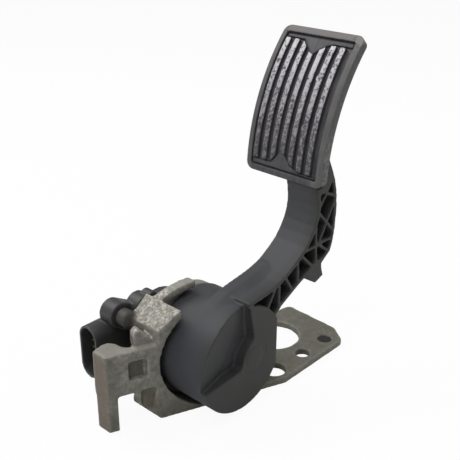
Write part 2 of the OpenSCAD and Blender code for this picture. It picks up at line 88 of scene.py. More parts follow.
# The fillet's steps across the arm and along its foot, and the share of its width over which it fades
FILLET_COLUMNS = 12
FILLET_ROWS = 24
FILLET_FADE = 0.6

# What the bracket's dirt and its painted light and shade follow: the screw axis of the sensor's upper ear,
# the height of the side arm's top, the Y where the block's flecks end, and the lowest and highest corners of
# the two recesses
EAR_AXIS = Vector((0, -41.6, 62)) * MM
SIDE_ARM_TOP = 53.5 * MM
FLECKS_END = -16 * MM
SQUARE_RECESS = Vector((0, -57.3, 33.8)) * MM, Vector((0, -46.4, 45.6)) * MM
LOWER_RECESS = Vector((0, -50.2, 9)) * MM, Vector((0, -41.4, 24.6)) * MM

# The camera, as the photograph was taken: 460 by 460 pixels
CAMERA_PLACE = Vector((304.2, -303.3, 311.3)) * MM
CAMERA_TARGET = Vector((24.28, 0, 120.31)) * MM
CAMERA_ROLL = math.radians(0.16)
CAMERA_LENS = 62.97

# The lamps: place in metres, width in metres and power in watts
LAMPS = {
    "key_lamp": ((0.1, -0.6, 1.2), 0.9, 6.0),
    "side_lamp": ((-0.8, -0.2, 1.1), 0.9, 9.0),
    "back_lamp": ((0.4, 0.9, 0.9), 0.8, 3.0),
}
LAMP_TARGET = Vector((0.02, 0.02, 0.08))

# The floor: its width in metres, its colour, and the share of plain white that the camera sees in it
FLOOR_WIDTH = 12
FLOOR_SHADE = 0.9
FLOOR_WHITE = 0.94

# The room's strength: as light on the object, and as the white background that the camera sees
ROOM_LIGHT = 0.3
ROOM_WHITE = 1.0


class PedalSizes(bpy.types.PropertyGroup):
    """Sizes of what is modelled here, in metres."""

    casting_grain: bpy.props.FloatProperty(
        name="Casting grain", description="Voxel size of the bracket's skin", default=0.8 * MM, unit="LENGTH"
    )
    moulding_grain: bpy.props.FloatProperty(
        name="Moulding grain", description="Voxel size of the arm's skin", default=0.62 * MM, unit="LENGTH"
    )
    shell_grain: bpy.props.FloatProperty(
        name="Shell grain", description="Voxel size of the sensor's skin", default=0.6 * MM, unit="LENGTH"
    )
    arm_width: bpy.props.FloatProperty(
        name="Arm width", description="Width of the arm along the shaft", default=25 * MM, unit="LENGTH"
    )
    fillet_width: bpy.props.FloatProperty(
        name="Fillet width",
        description="Width of the fillet at the arm's foot",
        default=17 * MM,
        unit="LENGTH",
    )
    pad_depth: bpy.props.FloatProperty(
        name="Pad depth", description="Depth of the pad's side walls", default=6 * MM, unit="LENGTH"
    )
    left_rim: bpy.props.FloatProperty(
        name="Left rim", description="Width of the pad's left rim", default=3.4 * MM, unit="LENGTH"
    )
    right_rim: bpy.props.FloatProperty(
        name="Right rim", description="Width of the pad's right rim", default=4.8 * MM, unit="LENGTH"
    )
    top_rim: bpy.props.FloatProperty(
        name="Top rim", description="Width of the pad's top rim", default=4.5 * MM, unit="LENGTH"
    )
    low_rim: bpy.props.FloatProperty(
        name="Lower rim", description="Width of the pad's lower rim", default=3.9 * MM, unit="LENGTH"
    )
    tread_depth: bpy.props.FloatProperty(
        name="Tread depth", description="Depth of the tread under its rim", default=2.6 * MM, unit="LENGTH"
    )
    floor: bpy.props.FloatProperty(
        name="Pad floor", description="Thickness of the pad's floor", default=2.4 * MM, unit="LENGTH"
    )
    side_wall: bpy.props.FloatProperty(
        name="Side wall", description="Thickness of the pad's side walls", default=2.6 * MM, unit="LENGTH"
    )
    corner: bpy.props.FloatProperty(
        name="Pad corner", description="Radius of the pad's corners", default=5 * MM, unit="LENGTH"
    )
    rib_pitch: bpy.props.FloatProperty(
        name="Rib pitch", description="Spacing of the tread's ribs", default=7 * MM, unit="LENGTH"
    )
    rib_width: bpy.props.FloatProperty(
        name="Rib width", description="Width of a tread rib", default=3.7 * MM, unit="LENGTH"
    )
    rib_shift: bpy.props.FloatProperty(
        name="Rib shift",
        description="How far the ribs lie left of the pad's middle",
        default=2.4 * MM,
        unit="LENGTH",
    )
    rib_gap: bpy.props.FloatProperty(
        name="Rib gap", description="Groove between a plateau and the ribs", default=1.1 * MM, unit="LENGTH"
    )
    plateau_gap: bpy.props.FloatProperty(
        name="Plateau gap",
        description="Groove between a plateau and the rim",
        default=1.2 * MM,
        unit="LENGTH",
    )
    rib_count: bpy.props.IntProperty(
        name="Ribs", description="Number of ribs on the tread", default=7, min=1, max=9
    )


class PedalColours(bpy.types.PropertyGroup):
    """Colours of the finishes, as scene-linear values."""

    casting: bpy.props.FloatVectorProperty(
        name="Casting", description="Bare weathered aluminium", subtype="COLOR", default=(0.28, 0.266, 0.23)
    )
    olive_dirt: bpy.props.FloatVectorProperty(
        name="Olive dirt",
        description="Blotches all over the casting",
        subtype="COLOR",
        default=(0.1, 0.102, 0.08),
    )
    plate_dust: bpy.props.FloatVectorProperty(
        name="Plate dust", description="Dust on the base plate", subtype="COLOR", default=(0.12, 0.116, 0.088)
    )
    leg_film: bpy.props.FloatVectorProperty(
        name="Leg film",
        description="Grey-green film on the leg",
        subtype="COLOR",
        default=(0.075, 0.078, 0.062),
    )
    leg_stain: bpy.props.FloatVectorProperty(
        name="Leg stain",
        description="Brown of the leg's outer end",
        subtype="COLOR",
        default=(0.14, 0.104, 0.072),
    )
    # Painted light: the faces of the casting that look up are lightened, as if lit from above
    top_light: bpy.props.FloatVectorProperty(
        name="Pale top",
        description="Faces of the casting that look up",
        subtype="COLOR",
        default=(0.3, 0.285, 0.25),
    )
    bright_fleck: bpy.props.FloatVectorProperty(
        name="Bright fleck",
        description="Bright flecks on the block",
        subtype="COLOR",
        default=(0.6, 0.57, 0.52),
    )
    dark_fleck: bpy.props.FloatVectorProperty(
        name="Dark fleck", description="Dark flecks on the block", subtype="COLOR", default=(0.12, 0.1, 0.075)
    )
    old_oil: bpy.props.FloatVectorProperty(
        name="Old oil",
        description="Oil on the back of the casting",
        subtype="COLOR",
        default=(0.06, 0.052, 0.04),
    )
    # Painted shade in the casting's inner corners
    corner_shade: bpy.props.FloatVectorProperty(
        name="Corner dirt",
        description="Oil and dust in the corners",
        subtype="COLOR",
        default=(0.11, 0.095, 0.07),
    )
    # Edges worn bright, with a painted highlight along them
    edge_wear_and_highlight: bpy.props.FloatVectorProperty(
        name="Rubbed edge", description="Edges rubbed bright", subtype="COLOR", default=(0.5, 0.48, 0.44)
    )
    # Painted shade on the square recess's floor, which makes the recess look deeper
    recess_shade: bpy.props.FloatVectorProperty(
        name="Recess oil",
        description="Dark floor of the square recess",
        subtype="COLOR",
        default=(0.045, 0.043, 0.032),
    )
    recess_stain: bpy.props.FloatVectorProperty(
        name="Recess stain",
        description="Brown floor of the lower recess",
        subtype="COLOR",
        default=(0.1, 0.078, 0.052),
    )
    ear_soot: bpy.props.FloatVectorProperty(
        name="Ear soot",
        description="Dark boss behind the sensor's ear",
        subtype="COLOR",
        default=(0.045, 0.042, 0.038),
    )
    moulding: bpy.props.FloatVectorProperty(
        name="Moulding",
        description="Charcoal nylon of the arm",
        subtype="COLOR",
        default=(0.047, 0.048, 0.053),
    )
    # Painted shade: the drum's left side, darkened toward a bluish black
    drum_shade: bpy.props.FloatVectorProperty(
        name="Drum shade",
        description="Bluish dark side of the drum",
        subtype="COLOR",
        default=(0.027, 0.029, 0.037),
    )
    # Painted shade on the drum's end face
    end_face_shade: bpy.props.FloatVectorProperty(
        name="End face oil",
        description="Oily end face of the drum",
        subtype="COLOR",
        default=(0.028, 0.029, 0.024),
    )
    paint: bpy.props.FloatVectorProperty(
        name="Paint", description="Dark paint left on the pad", subtype="COLOR", default=(0.036, 0.034, 0.04)
    )
    paint_dust: bpy.props.FloatVectorProperty(
        name="Paint dust",
        description="Greyed streaks in the paint",
        subtype="COLOR",
        default=(0.16, 0.155, 0.15),
    )
    rim_film: bpy.props.FloatVectorProperty(
        name="Rim film",
        description="Grey film on the pad's rims",
        subtype="COLOR",
        default=(0.15, 0.152, 0.14),
    )
    bare_metal: bpy.props.FloatVectorProperty(
        name="Bare metal",
        description="Metal worn bright on the ribs",
        subtype="COLOR",
        default=(0.44, 0.425, 0.45),
    )
    rim_metal: bpy.props.FloatVectorProperty(
        name="Rim metal",
        description="Duller metal worn bare on the rims",
        subtype="COLOR",
        default=(0.165, 0.157, 0.145),
    )
    shell: bpy.props.FloatVectorProperty(
        name="Sensor shell",
        description="Black of the sensor's shell",
        subtype="COLOR",
        default=(0.042, 0.043, 0.043),
    )


class Value:
    """A value in a material's maths: Python's operators on it add Math nodes."""

    def __init__(self, finish, socket):
        self.finish = finish
        self.socket = socket

    def maths(self, operation, first, second):
        return self.finish.add("ShaderNodeMath", {"operation": operation}, {0: first, 1: second})

    def __add__(self, other):
        return self.maths("ADD", self, other)

    def __radd__(self, other):
        return self.maths("ADD", other, self)

    def __sub__(self, other):
        return self.maths("SUBTRACT", self, other)

    def __rsub__(self, other):
        return self.maths("SUBTRACT", other, self)

    def __mul__(self, other):
        return self.maths("MULTIPLY", self, other)

    def __rmul__(self, other):
        return self.maths("MULTIPLY", other, self)


class Finish:
    """A procedural material on Object coordinates, with a short word for each thing that it needs."""

    def __init__(self, name):
        self.material = bpy.data.materials.new(name)
        self.material.use_nodes = True
        self.tree = self.material.node_tree
        self.tree.nodes.clear()
        self.place = self.add("ShaderNodeTexCoord", out="Object")
        self.shader = self.tree.nodes.new("ShaderNodeBsdfPrincipled")
        output = self.tree.nodes.new("ShaderNodeOutputMaterial")
        self.tree.links.new(self.shader.outputs[0], output.inputs["Surface"])

    def put(self, socket, given):
        if isinstance(given, Value):
            self.tree.links.new(given.socket, socket)
        else:
            socket.default_value = given

    def add(self, kind, settings=(), sockets=(), out=None):
        """A node of any type: its settings first, then the values or links of its sockets."""
        node = self.tree.nodes.new(kind)
        for key, setting in dict(settings).items():
            if key == "stops":
                self.set_stops(node.color_ramp, setting)
            else:
                setattr(node, key, setting)
        for key, given in dict(sockets).items():
            if isinstance(key, int):
                socket = node.inputs[key]
            else:
                socket = next(s for s in node.inputs if s.name == key and s.enabled)
            self.put(socket, given)
        if out is None:
            socket = next(s for s in node.outputs if s.enabled)
        else:
            socket = node.outputs[out]
        return Value(self, socket)

    def set_stops(self, ramp, stops):
        while len(ramp.elements) < len(stops):
            ramp.elements.new(0.5)
        for element, (position, shade) in zip(ramp.elements, stops):
            element.position = position
            element.color = (shade, shade, shade, 1)

    def ramp(self, value, *stops):
        return self.add("ShaderNodeValToRGB", {"stops": stops}, {"Fac": value}, "Color")

    def noise(self, size, detail=3.0, rough=0.6, stretch=None):
        """Noise from 0 to 1 whose lumps are about this size in metres, drawn out by stretch."""
        place = self.place
        if stretch:
            place = self.add("ShaderNodeMapping", {}, {"Vector": place, "Scale": stretch})
        sockets = {"Vector": place, "Scale": 1 / size, "Detail": detail, "Roughness": rough}
        return self.add("ShaderNodeTexNoise", {}, sockets, "Fac")

    def part(self, axis):
        """One of the place's three coordinates."""
        return self.add("ShaderNodeSeparateXYZ", {}, {"Vector": self.place}, axis)

    def distance_from(self, axis):
        """The distance from a line along X through this point."""
        flat = self.add("ShaderNodeVectorMath", {"operation": "MULTIPLY"}, {0: self.place, 1: (0, 1, 1)})
        sockets = {0: flat, 1: (0, axis.y, axis.z)}
        return self.add("ShaderNodeVectorMath", {"operation": "DISTANCE"}, sockets, "Value")

    def rise(self, value, low, high):
        """0 at the first value and 1 at the second, which may be the smaller one."""
        sockets = {"Value": value, "From Min": low, "From Max": high}
        return self.add("ShaderNodeMapRange", {"clamp": True}, sockets)

    def within(self, value, low, high):
        """1 between two places, with a soft edge on both sides."""
        edge = 0.8 * MM
        return self.rise(value, low, low + edge) * self.rise(value, high, high - edge)

    def inside(self, low, high):
        """1 between two corners, seen along the shaft."""
        return self.within(self.part("Y"), low.y, high.y) * self.within(self.part("Z"), low.z, high.z)

    def facing(self, axis):
        """How far the surface faces along an axis, from -1 to 1."""
        normal = self.add("ShaderNodeTexCoord", out="Normal")
        return self.add("ShaderNodeSeparateXYZ", {}, {"Vector": normal}, axis)

    def clamp(self, value):
        return self.add("ShaderNodeClamp", {}, {"Value": value})

    def blend(self, factor, first, second):
        """A colour between two: colours go in as three numbers or as another colour's value."""
        sockets = {"Factor": factor, "A": colour(first), "B": colour(second)}
        return self.add("ShaderNodeMix", {"data_type": "RGBA"}, sockets)

    def edges(self, low, high):
        """1 on edges that stand proud, where a finely meshed skin has them."""
        pointed = self.add("ShaderNodeNewGeometry", out="Pointiness")
        return self.ramp(pointed, (low, 0.0), (high, 1.0))

    def corners(self):
        """1 in inner corners of a finely meshed skin."""
        pointed = self.add("ShaderNodeNewGeometry", out="Pointiness")
        return self.ramp(pointed, (0.4, 1.0), (0.49, 0.0))

    def bump(self, height, depth, strength=1.0):
        sockets = {"Height": height, "Distance": depth, "Strength": strength}
        self.put(self.shader.inputs["Normal"], self.add("ShaderNodeBump", {}, sockets))

    def set(self, **sockets):
        for key, given in sockets.items():
            self.put(self.shader.inputs[key.replace("_", " ")], given)


def colour(given):
    if isinstance(given, Value):
        return given
    return (*given, 1.0)


def weathered_casting(colours):
    """Die-cast aluminium gone dull: olive dirt, a brown leg, a brown-stained lower recess and a bright
    speckled block, with painted light on faces that look up, painted shade in inner corners and on the square
    recess, and edges worn bright with a painted highlight.
    """
    finish = Finish("weathered_casting")
    clouds = finish.noise(13 * MM, 4)
    mottle = finish.noise(2.6 * MM, 5, 0.75)
    fine = finish.noise(1.9 * MM, 5, 0.72)
    blotches = finish.noise(5.5 * MM, 4, 0.7)
    across, along, upward = (finish.part(axis) for axis in "XYZ")
    back, outer_end = BRACKET_LOW.x, BRACKET_LOW.y
    raised = finish.rise(upward, SIDE_ARM_TOP - 2.5 * MM, SIDE_ARM_TOP + 0.5 * MM)
    top = finish.rise(finish.facing("Z"), 0.4, 0.6) * raised
    on_block = finish.rise(along, FLECKS_END + 4 * MM, FLECKS_END - 4 * MM)
    speckled = top * on_block * finish.rise(upward, SIDE_ARM_TOP + 1 * MM, SIDE_ARM_TOP + 2.5 * MM)
    leg = finish.rise(along, outer_end + 10 * MM, outer_end + 4 * MM)
    leg_end = finish.rise(along, outer_end + 1.8 * MM, outer_end + 0.4 * MM)
    plate = finish.rise(upward, 16 * MM, 6 * MM)
    behind = finish.rise(across, back + 4 * MM, back - 8 * MM)
    boss = finish.rise(finish.distance_from(EAR_AXIS), 7 * MM, 6 * MM)
    boss = boss * finish.rise(across, back + 11 * MM, back + 7 * MM)
    # Bright edges: worn metal, and a painted highlight that shows the steps between faces
    bright_edges = finish.edges(0.5, 0.6) * finish.rise(mottle, 0.35, 0.55)
    layers = (
        (finish.rise(mottle, 0.3, 0.7), colours.casting),
        (finish.rise(blotches, 0.42, 0.62) * 0.7, colours.olive_dirt),
        (plate * (0.35 + 0.55 * clouds), colours.plate_dust),
        (leg * (0.2 + 0.5 * blotches), colours.leg_film),
        (leg_end * (0.3 + 0.7 * blotches), colours.leg_stain),
        # Painted light on the faces that look up
        (top * 0.75, colours.top_light),
        (speckled * finish.rise(fine, 0.48, 0.62) * 0.75, colours.bright_fleck),
        (speckled * finish.rise(fine, 0.47, 0.35) * 0.75, colours.dark_fleck),
        (behind * (0.3 + 0.6 * blotches), colours.old_oil),
        # Painted shade in the inner corners
        (finish.corners() * 0.85, colours.corner_shade),
        (bright_edges * 0.7, colours.edge_wear_and_highlight),
        # Painted shade on the square recess's floor
        (finish.inside(*SQUARE_RECESS) * (0.6 + 0.4 * blotches), colours.recess_shade),
        (finish.inside(*LOWER_RECESS) * (0.4 + 0.4 * blotches), colours.recess_stain),
        (boss * 0.92, colours.ear_soot),
    )
    base = [c * 0.45 for c in colours.casting]
    for mask, shade in layers:
        base = finish.blend(mask, base, shade)
    finish.set(Base_Color=base)
    finish.set(Metallic=finish.clamp(bright_edges + 0.4 * speckled) * 0.5)
    finish.set(Roughness=0.5 + 0.22 * mottle - 0.12 * bright_edges)
    finish.bump(mottle * 0.6 + fine * 0.4, 0.3 * MM)
    return finish.material


def moulded_nylon(name, shade, sheen, scuffs, painted_shades=()):
    """Glass-filled nylon: a fine grain, cloudy sheen and pale scuffs, and painted shade that grows along an
    axis.
    """
    finish = Finish(name)
    clouds = finish.noise(22 * MM, 3)
    grain = finish.noise(0.35 * MM, 2)
    scratches = finish.noise(2.2 * MM, 4, 0.7, (1.0, 0.22, 0.22))
    scuffed = finish.ramp(scratches, (0.6, 0.0), (0.75, 1.0)) * finish.ramp(clouds, (0.4, 0.1), (0.65, 1.0))
    bright_edges = finish.edges(0.52, 0.66)
    base = finish.blend(clouds, [c * 0.85 for c in shade], [c * 1.18 for c in shade])
    base = finish.blend(scuffed * scuffs, base, [c * 2.6 for c in shade])
    base = finish.blend(bright_edges * 0.4, base, [c * 2.4 for c in shade])
    for axis, begins, full, share, shade_tone in painted_shades:
        base = finish.blend(finish.rise(finish.part(axis), begins, full) * share, base, shade_tone)
    finish.set(Base_Color=base)
    finish.set(Roughness=sheen + 0.16 * clouds + 0.1 * scuffed)
    finish.set(Specular_IOR_Level=0.5)
    finish.bump(grain, 0.05 * MM, 0.5)
    return finish.material


def worn_paint(colours):
    """Dark paint on metal, worn bright on the ribs, the top rim and the right wall, with flecks left."""
    finish = Finish("worn_paint")
    reach = finish.distance_from(TREAD_CENTRE)
    across = finish.part("X")
    upward = finish.part("Z")
    flecks = finish.noise(1.9 * MM, 4, 0.75)
    patches = finish.noise(9 * MM, 3)
    streaks = finish.noise(1.6 * MM, 3, 0.6, (1.0, 0.12, 0.12))
    left, right = PAD_LOW.x, PAD_HIGH.x
    bottom, top = PAD_LOW.z, PAD_HIGH.z
    proud = finish.rise(reach + 0.5 * MM * flecks, TREAD_RADIUS - 0.45 * MM, TREAD_RADIUS + 0.05 * MM)
    left_of_ribs = finish.rise(across, left + 3.6 * MM, left + 4.2 * MM)
    on_ribs = left_of_ribs * finish.rise(across, right - 8 * MM, right - 8.6 * MM)
    near_top = finish.rise(upward + 1.5 * MM * patches, top - 3.6 * MM, top - 2.4 * MM)
    corner = finish.rise(upward, top - 16 * MM, top - 5 * MM)
    corner = corner * finish.rise(across, right - 6 * MM, right - 4 * MM)
    wall = finish.rise(across, right - 0.7 * MM, right - 0.2 * MM)
    wall = wall * finish.rise(upward, top - 30 * MM, top - 56 * MM)
    low_rim = finish.rise(upward, bottom + 5.9 * MM, bottom + 4.7 * MM)
    lower = finish.rise(upward, top - 26 * MM, bottom + 6 * MM)
    ribs_worn = proud * on_ribs * (1 - low_rim) * (1 - 0.21 * lower)
    worn = ribs_worn + 0.88 * near_top + 0.8 * corner + 0.85 * wall
    bare = finish.rise(worn * (flecks + 0.25 * patches), 0.5, 0.6)
    greyed = finish.rise(streaks + 0.5 * patches, 0.55, 0.95)
    rims = finish.rise(reach, TREAD_RADIUS - 1.2 * MM, TREAD_RADIUS - 0.4 * MM) * (1 - on_ribs)
    right_side = finish.rise(across, right - 0.8 * MM, right - 0.2 * MM)
    left_side = finish.rise(across, left + 0.6 * MM, left + 0.2 * MM)
    filmed = finish.clamp(rims + right_side + left_side) * (0.1 + 0.55 * patches)
    base = finish.blend(finish.noise(5 * MM), colours.paint, [c * 1.8 for c in colours.paint])
    base = finish.blend(greyed * 0.35, base, colours.paint_dust)
    base = finish.blend(filmed, base, colours.rim_film)
    bright = finish.rise(flecks + 0.3 * patches - 0.45 * lower, 0.35, 0.65)
    metal = finish.blend(bright, [c * 0.5 for c in colours.bare_metal], colours.bare_metal)
    metal = finish.blend(finish.clamp(near_top + corner + wall) * 0.8, metal, colours.rim_metal)
    finish.set(Base_Color=finish.blend(bare, base, metal))
    finish.set(Metallic=bare * finish.clamp(ribs_worn) * 0.55)
    finish.set(Roughness=0.5 + 0.1 * flecks + 0.2 * finish.clamp(near_top))
    finish.set(Specular_IOR_Level=0.35)
    finish.bump(flecks * 0.4 - bare * 0.6, 0.12 * MM)
    return finish.material


def turned_metal(name, shade, rough):
    """Plain metal of a small part: cloudy, finely scratched along the shaft."""
    finish = Finish(name)
    clouds = finish.noise(6 * MM, 3)
    lines = finish.noise(0.5 * MM, 2, 0.5, (8.0, 1.0, 1.0))
    finish.set(Base_Color=finish.blend(clouds, [c * 0.8 for c in shade], [c * 1.15 for c in shade]))
    finish.set(Metallic=0.95, Roughness=rough + 0.15 * clouds)
    finish.bump(lines, 0.02 * MM, 0.6)
    return finish.material


def plain_moulding(name, shade, rough):
    """Plain plastic, rubber or board of a small part: a cloudy colour and a fine grain."""
    finish = Finish(name)
    clouds = finish.noise(5 * MM, 3)
    finish.set(Base_Color=finish.blend(clouds, [c * 0.82 for c in shade], [c * 1.2 for c in shade]))
    finish.set(Roughness=rough + 0.15 * clouds)
    finish.bump(finish.noise(0.5 * MM, 2), 0.03 * MM, 0.6)
    return finish.material


def select_only(piece):
    """Makes a piece the only one selected, and the active one."""
    bpy.ops.object.select_all(action="DESELECT")
    piece.select_set(True)
    bpy.context.view_layer.objects.active = piece


def settle(piece):
    """Puts a piece's place, turn and scale into its mesh."""
    select_only(piece)
    bpy.ops.object.transform_apply(location=True, rotation=True, scale=True)


def finish_with(piece, kind, **settings):
    """Adds a modifier with these settings and applies it."""
    select_only(piece)
    modifier = piece.modifiers.new(kind.lower(), kind)
    for key, setting in settings.items():
        setattr(modifier, key, setting)
    bpy.ops.object.modifier_apply(modifier=modifier.name)


def bevel(piece, width, segments, degrees):
    """Rounds the edges of a piece that are sharper than an angle."""
    sharp = math.radians(degrees)
    finish_with(piece, "BEVEL", width=width, segments=segments, limit_method="ANGLE", angle_limit=sharp)


def select_where(piece, kind, test):
    """In edit mode, selects just the faces, edges or vertices that pass a test."""
    mesh = bmesh.from_edit_mesh(piece.data)
    bpy.ops.mesh.select_mode(type=kind)
    bpy.ops.mesh.select_all(action="DESELECT")
    for item in {"FACE": mesh.faces, "EDGE": mesh.edges, "VERT": mesh.verts}[kind]:
        if test(item):
            item.select_set(True)
    mesh.select_flush_mode()
    bmesh.update_edit_mesh(piece.data)


def paint_piece(piece, material, body):
    """Gives a piece its material and lets it ride on its body."""
    piece.data.materials.clear()
    piece.data.materials.append(material)
    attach(piece, body)


def copy_of_node(node, name):
    """A new piece that starts as a CAD node's mesh, with its loose triangles merged."""
    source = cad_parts[node]
    piece = bpy.data.objects.new(name, source.data.copy())
    bpy.context.scene.collection.objects.link(piece)
    select_only(piece)
    bpy.ops.object.mode_set(mode="EDIT")
    bpy.ops.mesh.select_all(action="SELECT")
    bpy.ops.mesh.remove_doubles(threshold=1e-6)
    bpy.ops.object.mode_set(mode="OBJECT")
    return piece


def soften(piece, voxel, passes):
    """Turns a sharp CAD mesh into an even skin whose edges are rounded as a mould rounds them."""
    finish_with(piece, "REMESH", mode="VOXEL", voxel_size=voxel, use_smooth_shade=True)
    finish_with(piece, "SMOOTH", factor=0.5, iterations=passes)


def roughen(piece, name, size, strength):
    """Moves a finely meshed skin in and out, as a casting's surface is never quite flat."""
    clouds = bpy.data.textures.new(name, "CLOUDS")
    clouds.noise_scale = size
    clouds.noise_depth = 3
    finish_with(piece, "DISPLACE", texture=clouds, texture_coords="LOCAL", strength=strength, mid_level=0.5)


class PEDAL_OT_casting(bpy.types.Operator):
    """Makes the bracket's casting, with soft edges and an uneven skin"""

    bl_idname = "pedal.casting"
    bl_label = "Bracket Casting"

    def execute(self, context):
        sizes = context.scene.pedal_sizes
        casting = copy_of_node("bracket", "bracket_casting")
        soften(casting, sizes.casting_grain, passes=14)
        roughen(casting, "casting_skin", size=7 * MM, strength=0.35 * MM)
        paint_piece(casting, weathered_casting(context.scene.pedal_colours), "base")
        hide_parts("bracket")
        return {"FINISHED"}


class PEDAL_OT_arm(bpy.types.Operator):
    """Makes the plastic arm with its drum, lattice ribs and soft moulded edges"""

    bl_idname = "pedal.arm"
    bl_label = "Pedal Arm"

    def execute(self, context):
        arm = copy_of_node("pedal_arm", "arm_moulding")
        fillet = self.fillet(context.scene.pedal_sizes)
        select_only(arm)
        fillet.select_set(True)
        bpy.ops.object.join()
        soften(arm, context.scene.pedal_sizes.moulding_grain, passes=3)
        finish_with(arm, "DECIMATE", ratio=0.5)
        colours = context.scene.pedal_colours
        end_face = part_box("pedal_arm")[1].x
        # Each painted shade: its axis, where it begins and where it is full, its share and its colour
        painted_shades = (
            # Painted shade on the drum's left side
            ("Y", -6 * MM, -30 * MM, 0.6, colours.drum_shade),
            # Painted shade on the drum's end face
            ("X", end_face - 9 * MM, end_face - 2 * MM, 0.75, colours.end_face_shade),
        )
        nylon = moulded_nylon("charcoal_nylon", colours.moulding, sheen=0.54, scuffs=0.35, painted_shades=painted_shades)
        paint_piece(arm, nylon, "pedal")
        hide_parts("pedal_arm")
        return {"FINISHED"}

    def fillet(self, sizes):
        """The soft transition from the drum to the arm's front wall, which fades out toward the end face."""
        # It begins 0.6 mm inside the arm's left flank
        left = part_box("pedal_arm")[1].x - 0.2 * MM - sizes.arm_width
        right = left + sizes.fillet_width
        first, last = FILLET_TOP[0][0] * MM, FILLET_TOP[-1][0] * MM
        fillet = flat_block("arm_fillet", (left, first, 0), (right, last, 1 * MM))
        slice_along(first, last, FILLET_ROWS)
        for i in range(1, FILLET_COLUMNS):
            cut((left + (right - left) * i / FILLET_COLUMNS, 0, 0), (1, 0, 0))
        for vertex in bmesh.from_edit_mesh(fillet.data).verts:
            foot = along_line(FILLET_FOOT, vertex.co.y)
            fade = min(1, (right - vertex.co.x) / (FILLET_FADE * sizes.fillet_width))
            if vertex.co.z > 0.5 * MM:
                vertex.co.z = foot + 0.1 * MM + (along_line(FILLET_TOP, vertex.co.y) - foot) * fade
            else:
                vertex.co.z = foot - 0.5 * MM
        bpy.ops.object.mode_set(mode="OBJECT")
        return fillet


def flat_block(name, low, high):
    """A block between two corners, left in edit mode with nothing selected."""
    middle = (Vector(low) + Vector(high)) / 2
    size = Vector(high) - Vector(low)
    bpy.ops.object.select_all(action="DESELECT")
    bpy.ops.mesh.primitive_cube_add(size=1, location=middle, scale=size)
    block = bpy.context.object
    block.name = name
    settle(block)
    bpy.ops.object.mode_set(mode="EDIT")
    bpy.ops.mesh.select_all(action="DESELECT")
    return block


def cut(place, normal):
    """Cuts all of the piece in edit mode along a plane."""
    bpy.ops.mesh.select_all(action="SELECT")
    bpy.ops.mesh.bisect(plane_co=place, plane_no=normal)


def slice_along(low, high, steps):
    """Cuts the piece in edit mode across its Y at even steps, so that it can bend."""
    for i in range(1, steps):
        cut((0, low + (high - low) * i / steps, 0), (0, 1, 0))


def wrap_on_tread(piece):
    """Bends a piece drawn flat, with y down the tread and z out of it, onto the pad's curve."""
    for vertex in piece.data.vertices:
        x, along, out = vertex.co
        angle = PAD_TOP_ANGLE + along / TREAD_RADIUS
        reach = TREAD_RADIUS + out
        vertex.co = (x, TREAD_CENTRE.y + reach * math.cos(angle), TREAD_CENTRE.z + reach * math.sin(angle))


def along_line(points, x):
    """The height of a broken line at x, with its points given in mm."""
    for (x0, y0), (x1, y1) in zip(points, points[1:]):
        if x <= x1 * MM:
            return (y0 + (y1 - y0) * (x / MM - x0) / (x1 - x0)) * MM
    return points[-1][1] * MM


